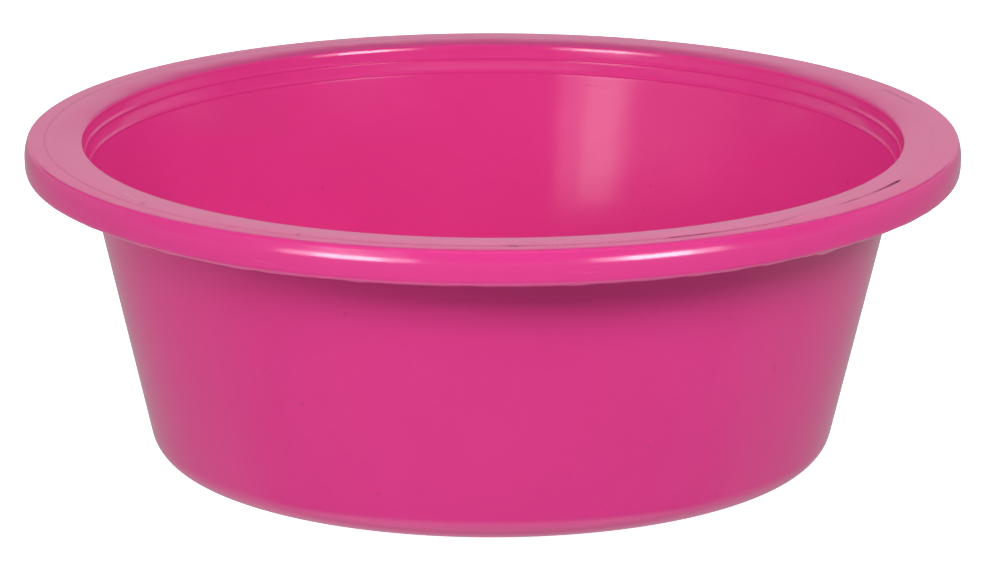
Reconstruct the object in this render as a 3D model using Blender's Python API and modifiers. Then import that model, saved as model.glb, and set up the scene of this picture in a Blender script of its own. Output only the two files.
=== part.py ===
"""Round plastic wash basin: one injection-moulded shell.

Frame: metres, +Z up, origin at the centre of the foot's resting plane.
The shell is a profile in the XZ plane turned about Z. The profile runs from
the middle of the inside floor, up the inner wall, over the rim, down the
outer side and back under the floor to the axis.
"""
import math

import bpy

# ---------------------------------------------------------------- dimensions
MM = 0.001

RIM_RADIUS = 200.0 * MM          # widest point of the rim's skirt
RIM_EDGE_Z = 138.2 * MM          # height of the flat rim's outer edge
RIM_EDGE_RADIUS = 197.9 * MM     # where the flat rim turns down
RIM_CROWN_RADIUS = 192.5 * MM    # the flat rim's slight crown
RIM_CROWN_Z = 138.7 * MM
RIM_SLOPE = ((184.0 * MM, 138.43 * MM), (190.0 * MM, 138.66 * MM))   # it falls slowly to the mouth
MOUTH_RADIUS = 175.55 * MM       # inner edge of the flat rim
MOUTH_Z = 138.0 * MM
MOUTH_FILLET = 1.5 * MM

SKIRT_TOP_Z = 133.2 * MM         # the skirt hangs straight down from here
SKIRT_CORNER = (199.7 * MM, 124.9 * MM)   # its outside, run on to its underside
SKIRT_BEND = 4.5 * MM            # radius of the bend inwards
SKIRT_END = (190.3 * MM, 121.7 * MM)      # the lip that it turns in to
SKIRT_THICKNESS = 1.8 * MM
RIM_THICKNESS = 1.8 * MM

WALL_TOP_RADIUS = 172.4 * MM     # outside of the wall, at WALL_TOP_Z
WALL_TOP_Z = 121.7 * MM
WALL_BASE_RADIUS = 144.3 * MM    # outside of the wall, run down to the resting plane
WALL_THICKNESS = 1.3 * MM
WALL_JOG = 1.1 * MM              # the wall steps out under the rim
BASE_CORNER_RADIUS = 14.2 * MM

# two fine rounded steps run round inside the mouth
STEP_DEPTHS = (5.0 * MM, 10.9 * MM)   # below the rim's edge
STEP_RADII = (174.2 * MM, 172.45 * MM)
# each step's section: across and up from its middle
STEP_SECTION = ((-0.32 * MM, -1.75 * MM), (-0.46 * MM, -1.15 * MM),
                (-0.40 * MM, -0.75 * MM), (0.10 * MM, -0.05 * MM), (0.27 * MM, 0.45 * MM))

FLOOR_THICKNESS = 1.9 * MM
RECESS_RADIUS = 108.0 * MM       # shallow hollow under the floor
RECESS_SLOPE = 5.0 * MM
RECESS_DEPTH = 1.6 * MM
FLOOR_RING_RADIUS = 60.0 * MM    # one fine ring on the inside floor
GATE_RADIUS = 5.0 * MM           # moulding gate's disc, inside the hollow
GATE_HEIGHT = 0.8 * MM

SEGMENTS = 72


# ---------------------------------------------------------------- profile
def fillet(before, corner, after, radius, steps):
    """Points of an arc of the given radius that rounds off a corner."""
    ax, az = before[0] - corner[0], before[1] - corner[1]
    bx, bz = after[0] - corner[0], after[1] - corner[1]
    la, lb = math.hypot(ax, az), math.hypot(bx, bz)
    ax, az, bx, bz = ax / la, az / la, bx / lb, bz / lb
    half = 0.5 * math.acos(max(-1.0, min(1.0, ax * bx + az * bz)))
    cut = radius / math.tan(half)
    mx, mz = ax + bx, az + bz
    lm = math.hypot(mx, mz)
    cx = corner[0] + mx / lm * radius / math.sin(half)
    cz = corner[1] + mz / lm * radius / math.sin(half)
    p0 = (corner[0] + ax * cut, corner[1] + az * cut)
    p1 = (corner[0] + bx * cut, corner[1] + bz * cut)
    a0 = math.atan2(p0[1] - cz, p0[0] - cx)
    a1 = math.atan2(p1[1] - cz, p1[0] - cx)
    turn = (a1 - a0 + math.pi) % (2.0 * math.pi) - math.pi
    return [(cx + radius * math.cos(a0 + turn * k / steps),
             cz + radius * math.sin(a0 + turn * k / steps)) for k in range(steps + 1)]


def outer_wall_radius(z):
    """Outside radius of the straight taper at a height."""
    t = z / WALL_TOP_Z
    return WALL_BASE_RADIUS + (WALL_TOP_RADIUS - WALL_BASE_RADIUS) * t


TAPER = math.atan2(WALL_TOP_RADIUS - WALL_BASE_RADIUS, WALL_TOP_Z)


def inner_wall_radius(z):
    """Inside radius of the straight taper at a height."""
    return outer_wall_radius(z) - WALL_THICKNESS / math.cos(TAPER)


def inner_side():
    """From the axis on the inside floor up to the inner edge of the rim."""
    top = RECESS_DEPTH + FLOOR_THICKNESS
    foot = FLOOR_THICKNESS
    pts = [(0.0, top),
           (FLOOR_RING_RADIUS - 1.5 * MM, top),
           (FLOOR_RING_RADIUS, top + 0.4 * MM),
           (FLOOR_RING_RADIUS + 1.5 * MM, top),
           (RECESS_RADIUS, top),
           (RECESS_RADIUS + RECESS_SLOPE, foot)]
    corner = (inner_wall_radius(foot), foot)
    wall_up = (inner_wall_radius(0.06), 0.06)
    pts += fillet(pts[-1], corner, wall_up, BASE_CORNER_RADIUS - FLOOR_THICKNESS, 9)
    pts.append((inner_wall_radius(0.075), 0.075))
    for depth, radius in reversed(list(zip(STEP_DEPTHS, STEP_RADII))):
        pts += [(radius + across, RIM_EDGE_Z - depth + up) for across, up in STEP_SECTION]
    pts += fillet(pts[-1], (MOUTH_RADIUS, MOUTH_Z), RIM_SLOPE[0], MOUTH_FILLET, 4)
    return pts


def rim_and_skirt():
    """Over the rim's top, down the skirt and back up under the rim."""
    pts = list(RIM_SLOPE) + [(RIM_CROWN_RADIUS, RIM_CROWN_Z),
                             (RIM_EDGE_RADIUS - 1.4 * MM, RIM_EDGE_Z + 0.35 * MM)]
    wide = RIM_RADIUS - RIM_EDGE_RADIUS
    drop = RIM_EDGE_Z - SKIRT_TOP_Z
    for k in range(6):
        a = 0.5 * math.pi * k / 5.0
        pts.append((RIM_EDGE_RADIUS + wide * math.sin(a),
                    RIM_EDGE_Z - drop * (1.0 - math.cos(a))))
    pts += fillet(pts[-1], SKIRT_CORNER, SKIRT_END, SKIRT_BEND, 5)
    # the lip's end is rounded, and the inside runs parallel to the outside
    cx, cz = SKIRT_CORNER
    dx, dz = SKIRT_END[0] - cx, SKIRT_END[1] - cz
    length = math.hypot(dx, dz)
    dx, dz = dx / length, dz / length
    nx, nz = dz * SKIRT_THICKNESS, -dx * SKIRT_THICKNESS
    end = (SKIRT_END[0] + nx, SKIRT_END[1] + nz)
    pts += fillet(pts[-1], SKIRT_END, end, 0.5 * MM, 2)
    inside = (cx - SKIRT_THICKNESS,
              cz + nz + (cx - SKIRT_THICKNESS - cx - nx) * dz / dx)
    pts += fillet(pts[-1], end, inside, 0.5 * MM, 2)
    roof = RIM_EDGE_Z - RIM_THICKNESS
    roof_corner = (RIM_RADIUS - SKIRT_THICKNESS, roof)
    pts += fillet(end, inside, roof_corner, SKIRT_BEND - SKIRT_THICKNESS, 4)
    pts += fillet(inside, roof_corner, (MOUTH_RADIUS, roof), 2.0 * MM, 3)
    return pts


def outer_side():
    """From under the rim down the wall, round the base corner, to the axis."""
    roof = RIM_EDGE_Z - RIM_THICKNESS
    jog_z = WALL_TOP_Z + 4.5 * MM
    high = (outer_wall_radius(roof) + WALL_JOG, roof)
    jog = (outer_wall_radius(jog_z) + WALL_JOG, jog_z)
    below = (outer_wall_radius(0.075), 0.075)
    pts = fillet((RIM_CROWN_RADIUS, roof), high, jog, 2.5 * MM, 4)
    pts += [jog, (outer_wall_radius(jog_z - 3.0 * MM), jog_z - 3.0 * MM)]
    pts.append(below)
    corner = (WALL_BASE_RADIUS, 0.0)
    pts += fillet(below, corner, (RECESS_RADIUS, 0.0), BASE_CORNER_RADIUS, 10)
    pts += [(RECESS_RADIUS + RECESS_SLOPE, 0.0),
            (RECESS_RADIUS, RECESS_DEPTH),
            (GATE_RADIUS, RECESS_DEPTH),
            (GATE_RADIUS - 0.5 * MM, RECESS_DEPTH - GATE_HEIGHT),
            (0.0, RECESS_DEPTH - GATE_HEIGHT)]
    return pts


# ---------------------------------------------------------------- scene
for obj in list(bpy.data.objects):
    bpy.data.objects.remove(obj, do_unlink=True)

collection = bpy.data.collections.new("plastic_basin")
bpy.context.scene.collection.children.link(collection)

plastic = bpy.data.materials.new("pink_plastic")
plastic.use_nodes = True
shader = plastic.node_tree.nodes["Principled BSDF"]
shader.inputs["Base Color"].default_value = (0.71, 0.035, 0.22, 1.0)
shader.inputs["Roughness"].default_value = 0.22
shader.inputs["Metallic"].default_value = 0.0

profile = inner_side() + rim_and_skirt() + outer_side()
mesh = bpy.data.meshes.new("basin")
mesh.from_pydata([(r, 0.0, z) for r, z in profile],
                 [(i, i + 1) for i in range(len(profile) - 1)], [])
mesh.materials.append(plastic)
basin = bpy.data.objects.new("basin", mesh)
collection.objects.link(basin)

screw = basin.modifiers.new("turn", "SCREW")
screw.axis = "Z"
screw.angle = 2.0 * math.pi
screw.screw_offset = 0.0
screw.iterations = 1
screw.steps = SEGMENTS
screw.render_steps = SEGMENTS
screw.use_merge_vertices = True
screw.merge_threshold = 0.00005
screw.use_smooth_shade = True
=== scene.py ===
"""Looks for a round pink plastic wash basin: one moulded shell on a pale studio floor.

Everything is in metres in the part's own frame: +Z up, origin at the centre of
the foot's resting plane, the camera on the -Y side.
"""
import math

import bpy
import numpy as np
from mathutils import Matrix, Vector


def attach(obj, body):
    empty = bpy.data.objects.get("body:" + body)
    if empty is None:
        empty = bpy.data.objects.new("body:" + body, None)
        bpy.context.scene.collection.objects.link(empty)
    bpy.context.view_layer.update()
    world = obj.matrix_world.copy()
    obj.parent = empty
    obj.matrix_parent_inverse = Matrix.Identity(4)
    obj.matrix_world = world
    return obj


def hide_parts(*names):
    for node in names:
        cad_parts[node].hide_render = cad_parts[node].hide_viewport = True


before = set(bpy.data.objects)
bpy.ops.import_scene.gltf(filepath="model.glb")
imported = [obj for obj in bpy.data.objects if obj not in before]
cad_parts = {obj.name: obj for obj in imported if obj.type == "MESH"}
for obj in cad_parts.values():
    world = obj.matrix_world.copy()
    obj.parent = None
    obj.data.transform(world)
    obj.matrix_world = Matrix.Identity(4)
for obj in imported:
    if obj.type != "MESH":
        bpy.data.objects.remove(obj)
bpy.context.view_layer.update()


MM = 0.001

# ------------------------------------------------------------------ geometry
SEGMENTS = 480
RIM_Z = 138.2                 # height of the rim's outer edge, mm
FLOOR_TOP = 1.9               # inside floor near the wall, mm
FLOOR_MIDDLE = 3.5            # inside floor over the hollow, mm
WALL_BASE = 144.3             # outside of the wall at the resting plane, mm
WALL_TOP = 172.4              # outside of the wall at 121.7 mm
WALL_TOP_Z = 121.7
WALL_THICKNESS = 1.3
TAPER = math.atan2(WALL_TOP - WALL_BASE, WALL_TOP_Z)


def outer_r(z):
    return WALL_BASE + (WALL_TOP - WALL_BASE) * z / WALL_TOP_Z


def inner_r(z):
    return outer_r(z) - WALL_THICKNESS / math.cos(TAPER)


def arc(before, corner, after, radius, steps):
    """Points of an arc that rounds off a corner, or the corner when radius is 0."""
    if radius <= 0.0:
        return [tuple(corner)]
    a = np.subtract(before, corner).astype(float)
    b = np.subtract(after, corner).astype(float)
    la, lb = np.hypot(*a), np.hypot(*b)
    a, b = a / la, b / lb
    half = 0.5 * math.acos(max(-1.0, min(1.0, float(a @ b))))
    if half > 1.565:
        return [tuple(corner)]
    cut = min(radius / math.tan(half), 0.49 * la, 0.49 * lb)
    radius = cut * math.tan(half)
    mid = (a + b) / np.hypot(*(a + b))
    centre = np.asarray(corner) + mid * radius / math.sin(half)
    p0, p1 = np.asarray(corner) + a * cut, np.asarray(corner) + b * cut
    t0 = math.atan2(p0[1] - centre[1], p0[0] - centre[0])
    t1 = math.atan2(p1[1] - centre[1], p1[0] - centre[0])
    turn = (t1 - t0 + math.pi) % (2.0 * math.pi) - math.pi
    return [(centre[0] + radius * math.cos(t0 + turn * k / steps),
             centre[1] + radius * math.sin(t0 + turn * k / steps))
            for k in range(steps + 1)]


def rounded(path):
    """A path of (r, z, radius, steps) corners as points with rounded corners."""
    points = []
    for i, (r, z, radius, steps) in enumerate(path):
        if i in (0, len(path) - 1):
            points.append((r, z))
        else:
            points += arc(path[i - 1][:2], (r, z), path[i + 1][:2], radius, steps)
    return points


def subdivided(points, longest):
    """The same line with no piece of it longer than a given length."""
    out = [points[0]]
    for p, q in zip(points[:-1], points[1:]):
        length = math.hypot(q[0] - p[0], q[1] - p[1])
        n = max(1, math.ceil(length / longest))
        out += [(p[0] + (q[0] - p[0]) * k / n, p[1] + (q[1] - p[1]) * k / n)
                for k in range(1, n + 1)]
    return out


def spline(points, per_span):
    """A smooth curve through points (centripetal Catmull-Rom)."""
    p = [np.asarray(q, float) for q in points]
    p = [2 * p[0] - p[1]] + p + [2 * p[-1] - p[-2]]
    out = []
    for i in range(1, len(p) - 2):
        t = [0.0]
        for a, b in ((p[i - 1], p[i]), (p[i], p[i + 1]), (p[i + 1], p[i + 2])):
            t.append(t[-1] + math.sqrt(np.hypot(*(b - a))))
        for k in range(per_span):
            s = t[1] + (t[2] - t[1]) * k / per_span
            a1 = (t[1] - s) / (t[1] - t[0]) * p[i - 1] + (s - t[0]) / (t[1] - t[0]) * p[i]
            a2 = (t[2] - s) / (t[2] - t[1]) * p[i] + (s - t[1]) / (t[2] - t[1]) * p[i + 1]
            a3 = (t[3] - s) / (t[3] - t[2]) * p[i + 1] + (s - t[2]) / (t[3] - t[2]) * p[i + 2]
            b1 = (t[2] - s) / (t[2] - t[0]) * a1 + (s - t[0]) / (t[2] - t[0]) * a2
            b2 = (t[3] - s) / (t[3] - t[1]) * a2 + (s - t[1]) / (t[3] - t[1]) * a3
            out.append(tuple((t[2] - s) / (t[2] - t[1]) * b1 + (s - t[1]) / (t[2] - t[1]) * b2))
    out.append(tuple(p[-2]))
    return out


# two fine rounded steps inside the mouth: (depth below the rim, radius)
STEPS = ((10.9, 172.45), (5.0, 174.32))

inner = [(0.0, FLOOR_MIDDLE, 0, 0),
         (58.0, FLOOR_MIDDLE, 1.0, 2),
         (60.0, FLOOR_MIDDLE + 0.45, 1.4, 4),
         (62.0, FLOOR_MIDDLE, 1.0, 2),
         (108.0, FLOOR_MIDDLE, 4.0, 3),
         (113.0, FLOOR_TOP, 4.0, 3),
         (inner_r(FLOOR_TOP), FLOOR_TOP, 12.3, 12)]
for depth, radius in STEPS:
    z = RIM_Z - depth
    inner += [(radius - 0.55, z - 2.70, 0, 0),
              (radius - 0.32, z - 1.70, 0.5, 2),
              (radius - 0.50, z - 0.95, 0.35, 3),
              (radius + 0.22, z + 0.15, 0.7, 3)]
inner += [(175.25, RIM_Z - 1.9, 0.5, 3),
          (175.45, RIM_Z - 0.14, 0.8, 8),
          (178.6, RIM_Z + 0.05, 0, 0)]

# the flat rim, very slightly crowned: (radius, height above the rim's edge)
crown = [(178.6, 0.05), (180.4, 0.165), (182.5, 0.275), (185.0, 0.375), (187.5, 0.44),
         (190.0, 0.465), (193.0, 0.465), (195.5, 0.45), (197.4, 0.42)]

# down the outside of the turned-down skirt and in along its lip
skirt = [(198.1, 0.36), (198.5, 0.22), (198.77, -0.02), (198.97, -0.37), (199.13, -0.8),
         (199.27, -1.35), (199.44, -1.95), (199.6, -2.6), (199.74, -3.25), (199.85, -3.9),
         (199.93, -4.55), (199.98, -5.25), (199.99, -5.9), (199.98, -7.2), (199.93, -9.0),
         (199.84, -10.8), (199.66, -12.3), (199.2, -13.4), (198.3, -14.25), (196.6, -14.95),
         (190.6, -16.35)]

lip_end = (190.3, RIM_Z - 16.5)
under = [(skirt[-1][0], RIM_Z + skirt[-1][1], 0, 0),
         (lip_end[0] - 0.35, lip_end[1] + 0.1, 0.5, 3),
         (lip_end[0] - 0.62, lip_end[1] + 1.7, 0.5, 3),
         (197.9, 126.2, 2.7, 6),
         (198.2, 136.4, 2.0, 5),
         (outer_r(136.4) + 1.1, 136.4, 2.5, 6),
         (outer_r(126.2) + 1.1, 126.2, 3.0, 3),
         (outer_r(123.2), 123.2, 3.0, 3),
         (WALL_BASE, 0.0, 14.2, 18),
         (113.0, 0.0, 0.6, 2),
         (108.0, 1.6, 0.8, 2),
         (5.0, 1.6, 0.2, 2),
         (4.5, 0.8, 0.2, 2),
         (0.0, 0.8, 0, 0)]

top_side = subdivided(rounded(inner), 7.0)
outside = [(r, RIM_Z + z) for r, z in spline(crown + skirt, 3)]
under_side = subdivided(rounded(under), 7.0)
profile = top_side + outside + under_side[1:]
profile = [p for i, p in enumerate(profile)
           if i == 0 or math.hypot(p[0] - profile[i - 1][0], p[1] - profile[i - 1][1]) > 0.02]
profile = np.array(profile)

theta = np.arange(SEGMENTS) * 2.0 * math.pi / SEGMENTS


def waves(angle, terms):
    """A slow wave round the basin from (count, size, phase) terms."""
    return sum(size * np.sin(count * angle + phase) for count, size, phase in terms)


# the moulding isn't perfectly true: slow waves in the wall and a ragged lip
WALL_WAVES = ((2, 0.10, 0.4), (3, 0.07, 2.1), (5, 0.04, 1.0), (9, 0.02, 0.3))
SKIRT_LIFT = 1.04
LIP_WAVES = ((7, 0.05, 1.2), (19, 0.05, 0.5), (43, 0.06, 2.2), (71, 0.05, 4.0), (97, 0.04, 1.7))

R = np.repeat(profile[:, 0][:, None], SEGMENTS, 1)
Z = np.repeat(profile[:, 1][:, None], SEGMENTS, 1)
T = np.repeat(theta[None, :], len(profile), 0)

height = np.clip(Z / RIM_Z, 0.0, 1.0)
on_wall = (R < 177.0) * (R > 120.0)
R = R + on_wall * waves(T, WALL_WAVES) * np.sin(math.pi * height) ** 0.8 * (Z > 3.0)
near_lip = np.exp(-((Z - 122.6) / 2.2) ** 2) * (R > 186.0) * (R < 198.5)
Z = Z + near_lip * waves(T, LIP_WAVES) * 1.6
from_front = (np.degrees(T) + 90.0 + 180.0) % 360.0 - 180.0   # angle from the camera's side
rough_stretch = np.clip(1.0 - np.abs(from_front - 33.0) / 14.0, 0.0, 1.0)
Z = Z + near_lip * rough_stretch * waves(T, ((61, 0.16, 0.7), (113, 0.14, 2.9), (151, 0.08, 1.3)))
# a sliver of flash left hanging from the lip
sliver = np.clip(1.0 - np.abs(from_front - 43.2) / 2.1, 0.0, 1.0) ** 0.5
Z = Z - 1.1 * sliver * np.exp(-((Z - 122.4) / 1.1) ** 2) * (R > 189.5) * (R < 197.0)

# the skirt is a little shorter at the sides and back than in front
away = np.clip((np.abs(from_front) - 25.0) / 35.0, 0.0, 1.0)
away = away * away * (3.0 - 2.0 * away) * (SKIRT_LIFT - 0.26 * np.sin(np.radians(from_front)))
low_down = np.clip((RIM_Z - 8.0 - Z) / 4.5, 0.0, 1.0)
Z = Z + away * low_down * low_down * (3.0 - 2.0 * low_down) * (R > 186.0)

# the wall leans a little to the left against the rim
X = R * np.cos(T) - 0.6 * (1.0 - height) * (R < 187.0)
Y = R * np.sin(T)

verts = np.stack([X, Y, Z], -1).reshape(-1, 3) * MM
rows = len(profile)
faces = []
first_ring = 1 if profile[0, 0] < 1e-6 else 0
last_ring = rows - 1 if profile[-1, 0] < 1e-6 else rows


def ring(i, j):
    return i * SEGMENTS + j % SEGMENTS


for i in range(first_ring, last_ring - 1):
    for j in range(SEGMENTS):
        faces.append((ring(i, j), ring(i, j + 1), ring(i + 1, j + 1), ring(i + 1, j)))
for j in range(SEGMENTS):
    faces.append((ring(0, 0), ring(1, j + 1), ring(1, j)))
    faces.append((ring(rows - 1, 0), ring(rows - 2, j), ring(rows - 2, j + 1)))

used = sorted({v for f in faces for v in f})
index = {v: k for k, v in enumerate(used)}
mesh = bpy.data.meshes.new("basin_shell")
mesh.from_pydata([tuple(verts[v]) for v in used], [], [tuple(index[v] for v in f) for f in faces])
mesh.validate()
mesh.polygons.foreach_set("use_smooth", [True] * len(mesh.polygons))
mesh.update()
shell = bpy.data.objects.new("basin_shell", mesh)
bpy.context.scene.collection.objects.link(shell)


# ----------------------------------------------------------------- materials
class Tree:
    """A short way to write shader nodes."""

    def __init__(self, tree):
        self.tree = tree
        tree.nodes.clear()

    def add(self, kind, inputs=None, **settings):
        node = self.tree.nodes.new(kind)
        for key, value in settings.items():
            setattr(node, key, value)
        for key, value in (inputs or {}).items():
            self.put(node.inputs[key], value)
        return node

    def put(self, socket, value):
        if isinstance(value, bpy.types.NodeSocket):
            self.tree.links.new(value, socket)
        else:
            socket.default_value = value

    def math(self, operation, a, b=0.0, c=0.0, clamp=False):
        node = self.add("ShaderNodeMath", operation=operation, use_clamp=clamp)
        for socket, value in zip(node.inputs, (a, b, c)):
            self.put(socket, value)
        return node.outputs[0]

    def ramp(self, value, low, high, to_low=0.0, to_high=1.0, smooth=True):
        node = self.add("ShaderNodeMapRange", {"Value": value, "From Min": low, "From Max": high,
                                              "To Min": to_low, "To Max": to_high},
                        interpolation_type="SMOOTHSTEP" if smooth else "LINEAR")
        return node.outputs[0]

    def mix(self, factor, a, b):
        node = self.add("ShaderNodeMix", data_type="RGBA")
        self.put(node.inputs["Factor"], factor)
        self.put(node.inputs[6], a)
        self.put(node.inputs[7], b)
        return node.outputs[2]

    def table(self, value, rows):
        """A number read from a table of (value, result) rows, straight between them."""
        low, high = rows[0][0], rows[-1][0]
        most = max(r for _, r in rows)
        node = self.add("ShaderNodeValToRGB", {"Fac": self.ramp(value, low, high, smooth=False)})
        ramp = node.color_ramp
        ramp.interpolation = "LINEAR"
        for k, (v, r) in enumerate(rows):
            where = (v - low) / (high - low)
            stop = ramp.elements[k] if k < 2 else ramp.elements.new(where)
            stop.position = where
            stop.color = (r / most, r / most, r / most, 1.0)
        return self.math("MULTIPLY", node.outputs["Color"], most)

    def stroke(self, place, start, end, half_width):
        """1 on a short straight mark between two points in mm, 0 away from it."""
        a, b = Vector(start) * MM, Vector(end) * MM
        way = b - a
        rel = self.add("ShaderNodeVectorMath", {0: place, 1: tuple(a)}, operation="SUBTRACT").outputs[0]
        along = self.add("ShaderNodeVectorMath", {0: rel, 1: tuple(way / way.length_squared)},
                         operation="DOT_PRODUCT").outputs["Value"]
        along = self.math("ADD", along, 0.0, clamp=True)
        foot = self.add("ShaderNodeVectorMath", {0: tuple(way)}, operation="SCALE")
        self.put(foot.inputs["Scale"], along)
        gap = self.add("ShaderNodeVectorMath", {0: rel, 1: foot.outputs[0]},
                       operation="DISTANCE").outputs["Value"]
        return self.ramp(gap, half_width * MM, 0.35 * half_width * MM)

    def spot(self, place, centre, radius):
        """1 at a small round mark at a point in mm, 0 away from it."""
        gap = self.add("ShaderNodeVectorMath", {0: place, 1: tuple(Vector(centre) * MM)},
                       operation="DISTANCE").outputs["Value"]
        return self.ramp(gap, radius * MM, 0.3 * radius * MM)

    def noise(self, vector, scale, detail=2.0, rough=0.5, distortion=0.0):
        node = self.add("ShaderNodeTexNoise", {"Vector": vector, "Scale": scale, "Detail": detail,
                                              "Roughness": rough, "Distortion": distortion})
        return node.outputs["Fac"]


# a dark line round the top of the rim, darkest in its short scratched dashes, by angle
# from the camera's side in degrees, positive to the right: (angle, darkness)
RIM_LINE = ((-30, 0.14), (-8, 0.26), (1.6, 0.30), (2.1, 1.0), (2.7, 1.0), (3.2, 0.36), (8, 0.34),
            (13.2, 0.25), (13.6, 0.62), (14.0, 0.25), (18, 0.12), (21.4, 0.25), (22.1, 1.0),
            (23.0, 0.75), (26.3, 0.9), (27.4, 0.5), (32, 0.38), (38, 0.3), (41, 0.14), (48.6, 0.03),
            (49.8, 0.45), (52.9, 0.5), (53.6, 0.10), (54.6, 0.26), (56, 0.2), (57.2, 0.65), (60, 0.75),
            (62, 1.1), (63.7, 1.1), (64.3, 0.04))
# where that line runs, as a radius in mm, and half its width in mm
RIM_LINE_RADIUS = ((-180, 191.3), (37, 191.3), (41.5, 187.5), (90, 188.0), (106, 191.6), (180, 191.3))
RIM_LINE_WIDTH = ((-180, 0.6), (0, 0.6), (1.5, 1.1), (3, 1.1), (4.5, 0.7), (20, 0.7), (22, 1.05), (27, 0.95),
                  (30, 0.7), (40, 0.6), (57, 0.75), (61, 1.0), (64, 1.0), (66, 0.6), (180, 0.6))

# small dark specks: (x, y, z, radius) in mm
SPECKS = ((-77.8, -137.2, 58.0, 0.9), (-85.3, -125.6, 32.8, 0.8), (-58.6, -141.4, 37.9, 0.6),
          (-52.1, -140.1, 22.6, 0.6), (-46.8, -141.6, 20.9, 0.9), (63.8, -139.7, 40.1, 0.9),
          (91.8, -123.6, 41.8, 1.0), (117.0, -97.7, 35.0, 1.0), (-130.1, -151.6, 128.5, 0.9),
          (-142.9, -122.4, 138.6, 1.6), (-77.7, -173.0, 138.6, 1.4), (-101.0, 124.6, 75.3, 0.8))

# short dark scratches and pale scuffs: (start, end, half width, strength)
SCRATCHES = (((42.5, 165.8, 121.6), (47.5, 164.4, 121.2), 0.5, 0.35),
             ((49.5, 163.9, 120.6), (53.8, 162.6, 120.4), 0.5, 0.30))
SCUFFS = (((55.5, 182.0, 138.6), (63.5, 179.5, 138.6), 0.5, 0.15),
          ((-152.0, -103.0, 138.6), (-146.0, -116.0, 138.6), 0.5, 0.25),
          ((20.0, -199.8, 130.0), (44.0, -195.2, 129.0), 0.35, 0.10),
          ((-96.0, -175.6, 129.0), (-84.0, -181.7, 127.6), 0.35, 0.20))


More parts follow.
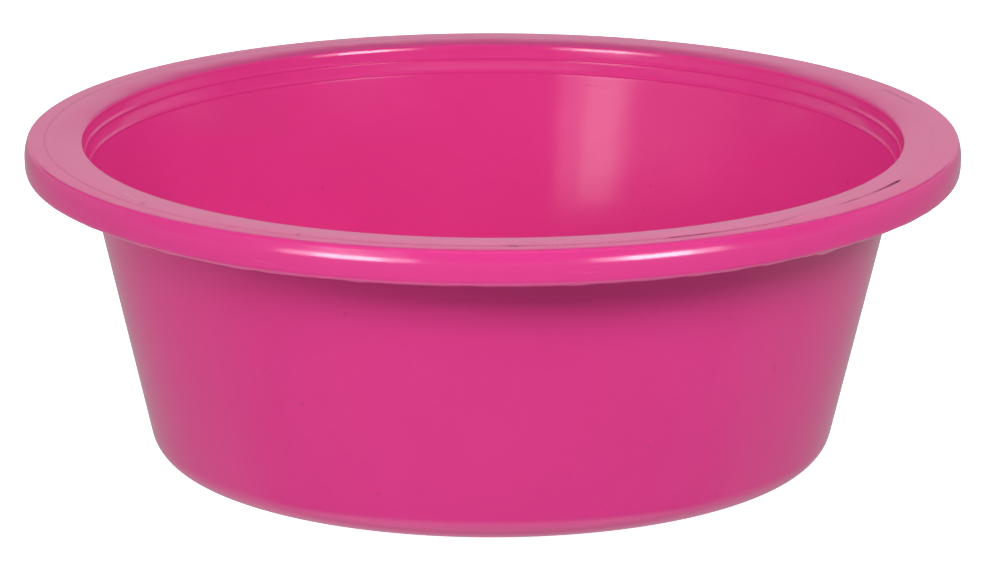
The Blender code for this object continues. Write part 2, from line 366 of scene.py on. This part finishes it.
def plastic():
    material = bpy.data.materials.new("pink_plastic")
    material.use_nodes = True
    t = Tree(material.node_tree)
    out = t.add("ShaderNodeOutputMaterial")
    place = t.add("ShaderNodeTexCoord").outputs["Object"]
    split = t.add("ShaderNodeSeparateXYZ", {0: place})
    x, y, z = split.outputs
    radius = t.math("SQRT", t.math("ADD", t.math("MULTIPLY", x, x), t.math("MULTIPLY", y, y)))
    angle = t.math("MULTIPLY", t.math("ARCTAN2", x, t.math("MULTIPLY", y, -1.0)), 180.0 / math.pi)
    rim_top = t.math("MULTIPLY", t.ramp(z, 137.4 * MM, 138.0 * MM), t.ramp(radius, 177.0 * MM, 179.0 * MM))

    # colour: an even pigment with a very faint cloudiness
    cloud = t.noise(place, 14.0, 3.0, 0.55)
    fine = t.noise(place, 260.0, 3.0, 0.6)
    grit = t.noise(place, 900.0, 2.0, 0.6)
    colour = t.mix(t.ramp(cloud, 0.3, 0.7), (0.745, 0.0425, 0.260, 1.0), (0.725, 0.039, 0.248, 1.0))
    colour = t.mix(t.math("MULTIPLY", t.ramp(fine, 0.35, 0.75), 0.10), colour,
                   (0.66, 0.031, 0.225, 1.0))

    # marks: the dark line round the rim, specks of dirt and pale scuffs
    gap = t.math("ABSOLUTE", t.math("SUBTRACT", t.math("MULTIPLY", radius, 1.0 / MM),
                                    t.math("ADD", t.table(angle, RIM_LINE_RADIUS),
                                           t.math("MULTIPLY", t.math("SUBTRACT", cloud, 0.5), 1.2))))
    line = t.math("SUBTRACT", 1.0, t.math("DIVIDE", gap, t.table(angle, RIM_LINE_WIDTH)), clamp=True)
    line = t.ramp(line, 0.0, 0.55)
    darkness = t.math("ADD", t.table(angle, RIM_LINE),
                      t.math("MULTIPLY", 0.24, t.math("MULTIPLY", t.ramp(angle, 106.0, 108.5),
                                                      t.ramp(angle, 117.0, 115.0))))
    line = t.math("MULTIPLY", t.math("MULTIPLY", line, darkness), rim_top)
    line = t.math("MULTIPLY", line, t.ramp(grit, 0.25, 0.55, 0.55, 1.0), clamp=True)
    specks = 0.0
    for sx, sy, sz, size in SPECKS:
        specks = t.math("MAXIMUM", specks, t.spot(place, (sx, sy, sz), size))
    dust = t.ramp(t.noise(place, 210.0, 1.0, 0.4), 0.785, 0.82)
    specks = t.math("MAXIMUM", t.math("MULTIPLY", specks, 0.45), t.math("MULTIPLY", dust, 0.20))
    for start, end, half_width, strength in SCRATCHES:
        specks = t.math("MAXIMUM", specks,
                        t.math("MULTIPLY", t.stroke(place, start, end, half_width),
                               t.ramp(grit, 0.35, 0.60, 0.0, strength)))
    dark_marks = t.math("MAXIMUM", line, specks)
    scuffed = 0.0
    for start, end, half_width, strength in SCUFFS:
        scuffed = t.math("MAXIMUM", scuffed,
                         t.math("MULTIPLY", t.stroke(place, start, end, half_width), strength))
    scuffed = t.math("MULTIPLY", scuffed, t.ramp(grit, 0.35, 0.60))
    colour = t.mix(dark_marks, colour, (0.12, 0.010, 0.036, 1.0))
    colour = t.mix(scuffed, colour, (0.90, 0.42, 0.62, 1.0))

    # gloss: smeared, smoothest on top of the rim, dull on the dark marks and scuffs
    smear = t.noise(place, 22.0, 4.0, 0.6, 0.8)
    rough = t.math("ADD", t.math("SUBTRACT", 0.145, t.math("MULTIPLY", rim_top, 0.02)),
                   t.math("MULTIPLY", t.math("SUBTRACT", smear, 0.5), 0.08))
    rough = t.math("ADD", rough, t.math("MULTIPLY", t.math("SUBTRACT", fine, 0.5), 0.05))
    rough = t.math("ADD", rough, t.math("MULTIPLY", t.math("MAXIMUM", dark_marks, scuffed), 0.45), clamp=True)

    # surface: orange peel over slow ripples, and the dark rim line is cut in as a groove
    peel = t.noise(place, 420.0, 2.0, 0.5)
    ripple = t.noise(place, 30.0, 2.0, 0.5)
    bump1 = t.add("ShaderNodeBump", {"Strength": 1.0, "Distance": 0.00025, "Height": ripple})
    bump2 = t.add("ShaderNodeBump", {"Strength": 1.0, "Distance": 0.000012, "Height": peel,
                                     "Normal": bump1.outputs[0]})

    groove = t.add("ShaderNodeBump", {"Strength": 1.0, "Distance": 0.00022, "Height": line,
                                      "Normal": bump2.outputs[0]}, invert=True)

    shader = t.add("ShaderNodeBsdfPrincipled",
                   {"Base Color": colour, "Roughness": rough, "IOR": 1.5,
                    "Normal": groove.outputs[0]})
    t.tree.links.new(shader.outputs[0], out.inputs["Surface"])
    return material


mesh.materials.append(plastic())
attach(shell, "root")
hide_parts("basin")


# --------------------------------------------------------------------- stage
FLOOR_GLOW = 1.0   # the table is lit from below as well, as white product tables are


def floor_material():
    material = bpy.data.materials.new("pale_floor")
    material.use_nodes = True
    t = Tree(material.node_tree)
    out = t.add("ShaderNodeOutputMaterial")
    place = t.add("ShaderNodeTexCoord").outputs["Object"]
    grain = t.noise(place, 3.0, 2.0, 0.5)
    colour = t.mix(grain, (0.90, 0.90, 0.90, 1.0), (0.93, 0.93, 0.93, 1.0))
    shader = t.add("ShaderNodeBsdfPrincipled", {"Base Color": colour, "Roughness": 0.6,
                                                "Specular IOR Level": 0.1,
                                                "Emission Color": (1.0, 1.0, 1.0, 1.0),
                                                "Emission Strength": FLOOR_GLOW})
    t.tree.links.new(shader.outputs[0], out.inputs["Surface"])
    return material


bpy.ops.mesh.primitive_circle_add(vertices=96, radius=9.0, fill_type="NGON", location=(0, 0, 0))
floor = bpy.context.object
floor.name = "studio_floor"
floor.data.materials.append(floor_material())
floor.visible_diffuse = False   # the room's levels below the horizon stand in for the light that
floor.visible_glossy = False    # the table throws back
floor.visible_shadow = False


def area_light(name, azimuth, elevation, distance, width, height, radiance, spread=180.0):
    """A soft panel facing the basin. Azimuth is from the camera's side, positive to the right."""
    data = bpy.data.lights.new(name, "AREA")
    data.shape = "RECTANGLE"
    data.size, data.size_y = width, height
    data.energy = radiance * math.pi * width * height
    data.spread = math.radians(spread)
    light = bpy.data.objects.new(name, data)
    bpy.context.scene.collection.objects.link(light)
    a, e = math.radians(azimuth), math.radians(elevation)
    target = Vector((0.0, 0.0, 0.10))
    way = Vector((math.sin(a) * math.cos(e), -math.cos(a) * math.cos(e), math.sin(e)))
    light.location = target + way * distance
    light.rotation_euler = way.to_track_quat("Z", "Y").to_euler()
    return light


# name: (azimuth, elevation, distance, width, height, radiance, lights surfaces, shows in gloss)
LIGHTS = {
    "strip_left": (-33.0, 0.0, 2.6, 0.75, 0.50, 12.0, False, True),
    "strip_left_soft": (-33.5, 0.5, 2.6, 1.45, 0.55, 5.0, False, True),
    "strip_left_mid": (-34.3, 12.0, 2.6, 0.50, 0.34, 1.8, False, True),
    "strip_left_mid_soft": (-32.3, 12.0, 2.6, 1.05, 0.36, 1.5, False, True),
    "strip_right": (38.0, 0.0, 2.6, 0.75, 0.50, 14.5, False, True),
    "strip_right_soft": (38.5, 0.5, 2.6, 1.45, 0.55, 5.0, False, True),
    "front_28": (0.0, 28.0, 1.6, 1.8, 0.21, 7.4, True, False),
    "front_36": (0.0, 36.0, 1.6, 1.8, 0.21, 7.3, True, False),
    "quarter_left": (-62.0, 16.0, 3.0, 2.0, 0.8, 5.2, True, False),
    "quarter_right": (58.0, 36.0, 3.0, 2.0, 1.0, 5.4, True, False),
    "back_high": (180.0, 45.0, 2.8, 2.4, 1.2, 1.85, True, False),
}
for light_name, values in LIGHTS.items():
    light = area_light(light_name, *values[:6])
    light.visible_camera = False
    light.visible_diffuse = values[6]
    light.visible_glossy = values[7]

# the room, as brightness at each elevation in degrees, in front of the basin and behind it
FRONT_LEVELS = ((-90, 1.30), (-60, 1.30), (-45, 0.14), (-30, 0.43), (-18, 0.31), (-8, 0.56), (0, 0.28),
                (12, 0.05), (90, 0.04))
BEHIND_LEVELS = ((-90, 0.78), (-50, 0.78), (-30, 0.45), (-8, 0.37), (3, 0.51), (10, 0.64),
                 (12.8, 0.71), (15.7, 0.72), (17.2, 0.40), (18.8, 0.13), (24, 0.19), (55, 0.23), (90, 0.23))
world = bpy.data.worlds.new("studio")
bpy.context.scene.world = world
world.use_nodes = True
w = Tree(world.node_tree)
direction = w.add("ShaderNodeTexCoord").outputs["Generated"]
dx, dy, dz = w.add("ShaderNodeSeparateXYZ", {0: direction}).outputs
elevation = w.math("MULTIPLY", w.math("ARCSINE", dz), 180.0 / math.pi)


behind = w.ramp(dy, -0.15, 0.30)
level = w.math("ADD", w.math("MULTIPLY", w.table(elevation, BEHIND_LEVELS), behind),
               w.math("MULTIPLY", w.table(elevation, FRONT_LEVELS),
                      w.math("SUBTRACT", 1.0, behind)))
level = w.math("MAXIMUM", level, 0.0)
background = w.add("ShaderNodeBackground", {"Color": (1.0, 1.0, 1.0, 1.0), "Strength": level})
world_out = w.add("ShaderNodeOutputWorld")
w.tree.links.new(background.outputs[0], world_out.inputs["Surface"])

# -------------------------------------------------------------------- camera
# fitted to the rim, wall and base outlines
FOCAL_PX = 6006.1
DISTANCE = 12.8482 * 0.2
ELEVATION = math.radians(13.5202)
PITCH, YAW, ROLL = (math.radians(v) for v in (-1.4212, 0.0691, 0.0471))

camera_data = bpy.data.cameras.new("camera")
camera_data.sensor_fit = "HORIZONTAL"
camera_data.sensor_width = 36.0
camera_data.lens = 36.0 * FOCAL_PX / 1000.0
camera_data.clip_end = 60.0
camera = bpy.data.objects.new("camera", camera_data)
bpy.context.scene.collection.objects.link(camera)
offset = Vector((0.0, -DISTANCE * math.cos(ELEVATION), DISTANCE * math.sin(ELEVATION)))
forward = -offset.normalized()
right = Vector((1.0, 0.0, 0.0))
up = right.cross(forward)
forward, up = (forward * math.cos(PITCH) + up * math.sin(PITCH),
               -forward * math.sin(PITCH) + up * math.cos(PITCH))
forward, right = (forward * math.cos(YAW) + right * math.sin(YAW),
                  -forward * math.sin(YAW) + right * math.cos(YAW))
right, up = (right * math.cos(ROLL) + up * math.sin(ROLL),
             -right * math.sin(ROLL) + up * math.cos(ROLL))
turn = Matrix((right, up, -forward)).transposed().to_4x4()
camera.matrix_world = Matrix.Translation(offset + Vector((0.0, 0.0, RIM_Z * MM))) @ turn
bpy.context.scene.camera = camera

bpy.context.scene.view_settings.view_transform = "Standard"
bpy.context.scene.view_settings.look = "None"
